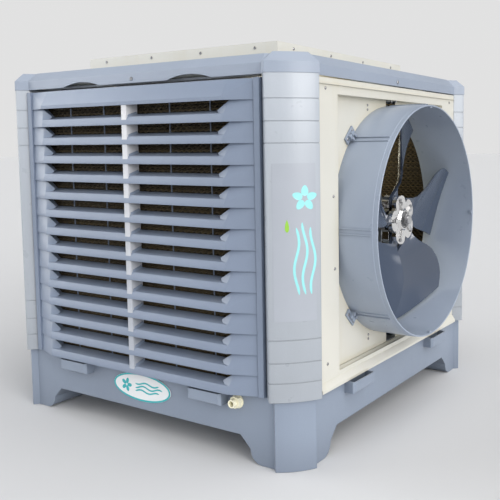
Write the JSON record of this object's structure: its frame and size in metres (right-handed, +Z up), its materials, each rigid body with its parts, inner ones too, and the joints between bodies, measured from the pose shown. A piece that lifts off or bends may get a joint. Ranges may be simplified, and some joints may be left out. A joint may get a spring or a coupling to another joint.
{
  "type": "evaporative cooler",
  "caption": "Free-standing evaporative air cooler: square cabinet with louvred wet-pad sides, water tray base and a round axial fan discharge collar.",
  "frame": {"origin": "centre of the square footprint, on the floor", "axes": "+Z up, +X out of the fan discharge collar, -Y out of the front louvred panel"},
  "size_m": [1.184, 1.108, 1.056],
  "materials": {
    "cabinet_plastic": "moulded satin polypropylene, fine grain",
    "louvre_plastic": "moulded satin polypropylene, fine grain",
    "cream_sheet": "powder coat, fine orange peel",
    "screw_steel": "stainless",
    "galvanised": "galvanised sheet",
    "motor_iron": "dark paint",
    "bright_steel": "turned steel",
    "cast_hub": "die cast, bright",
    "blade_plastic": "moulded satin nylon",
    "pad_paper": "corrugated cellulose, resin treated",
    "white_pipe": "extruded pipe",
    "spreader_plastic": "moulded",
    "pump_plastic": "moulded",
    "cream_plastic": "moulded",
    "float_plastic": "moulded",
    "red_plastic": "moulded",
    "box_steel": "powder coat",
    "badge_film": "printed film",
    "decal_film": "clear printed film"
  },
  "bodies": {
    "cabinet": {"base_tray": "cabinet_plastic", "post_front_right": "cabinet_plastic", "post_front_left": "cabinet_plastic", "post_back_left": "cabinet_plastic", "post_back_right": "cabinet_plastic", "top_cover": "cabinet_plastic", "cover_screws": "screw_steel", "top_plate": "cream_sheet", "discharge_frame": "cream_sheet", "fan_panel_front": "cream_sheet", "fan_panel_back": "cream_sheet", "sheet_screws": "screw_steel", "discharge_collar": "cabinet_plastic", "collar_clips": "cabinet_plastic", "motor_bracket": "galvanised", "bracket_bolts": "screw_steel", "motor_housing": "motor_iron", "motor_front_cap": "motor_iron", "motor_rear_cover": "motor_iron", "motor_bearings": "bright_steel", "motor_terminal_box": "motor_iron", "water_header": "white_pipe", "water_spreaders": "spreader_plastic", "riser_pipe": "white_pipe", "hose_clamps": "screw_steel", "pump_body": "pump_plastic", "pump_strainer": "pump_plastic", "float_valve_body": "cream_plastic", "inlet_nut": "cream_plastic", "drain_valve_body": "cream_plastic", "overflow_pipe": "white_pipe", "control_box": "box_steel", "level_probe": "pump_plastic", "oval_badge": "badge_film", "post_decal": "decal_film"},
    "fan_rotor": {"motor_shaft": "bright_steel", "fan_hub": "cast_hub", "fan_blade_1": "blade_plastic", "fan_blade_2": "blade_plastic", "fan_blade_3": "blade_plastic", "fan_blade_4": "blade_plastic", "fan_blade_5": "blade_plastic", "hub_clamp_ring": "cast_hub", "hub_bolts": "screw_steel", "hub_nut": "screw_steel"},
    "front_panel": {"louvre_front": "louvre_plastic", "pad_front": "pad_paper", "pad_bars_front": "galvanised"},
    "left_panel": {"louvre_left": "louvre_plastic", "pad_left": "pad_paper", "pad_bars_left": "galvanised"},
    "back_panel": {"louvre_back": "louvre_plastic", "pad_back": "pad_paper", "pad_bars_back": "galvanised"},
    "impeller": {"pump_impeller": "white_pipe"},
    "float": {"float_arm": "bright_steel", "float_ball": "float_plastic"},
    "drain_tap": {"drain_handle": "red_plastic"},
    "control_lid": {"control_door": "box_steel"}
  },
  "joints": [
    {"name": "fan_spin", "type": "hinge", "parent": "cabinet", "child": "fan_rotor", "pos_m": [0.5, 0, 0.57], "axis": [1, 0, 0], "continuous": true},
    {"name": "front_panel_swing", "type": "hinge", "parent": "cabinet", "child": "front_panel", "pos_m": [0, -0.51, 0.94], "axis": [-1, 0, 0], "range_deg": [0, 20]},
    {"name": "left_panel_swing", "type": "hinge", "parent": "cabinet", "child": "left_panel", "pos_m": [-0.51, 0, 0.94], "axis": [0, 1, 0], "range_deg": [0, 20]},
    {"name": "back_panel_swing", "type": "hinge", "parent": "cabinet", "child": "back_panel", "pos_m": [0, 0.51, 0.94], "axis": [1, 0, 0], "range_deg": [0, 20]},
    {"name": "impeller_spin", "type": "hinge", "parent": "cabinet", "child": "impeller", "pos_m": [-0.36, 0.18, 0.118], "axis": [0, 0, 1], "continuous": true},
    {"name": "float_swing", "type": "hinge", "parent": "cabinet", "child": "float", "pos_m": [0.336, -0.455, 0.152], "axis": [1, 0, 0], "range_deg": [-12, 6]},
    {"name": "drain_turn", "type": "hinge", "parent": "cabinet", "child": "drain_tap", "pos_m": [-0.2, -0.23, 0.048], "axis": [0, -1, 0], "range_deg": [0, 90]},
    {"name": "control_door_swing", "type": "hinge", "parent": "cabinet", "child": "control_lid", "pos_m": [0.056, 0.127, 0.93], "axis": [0, 0, -1], "range_deg": [0, 110]}
  ]
}
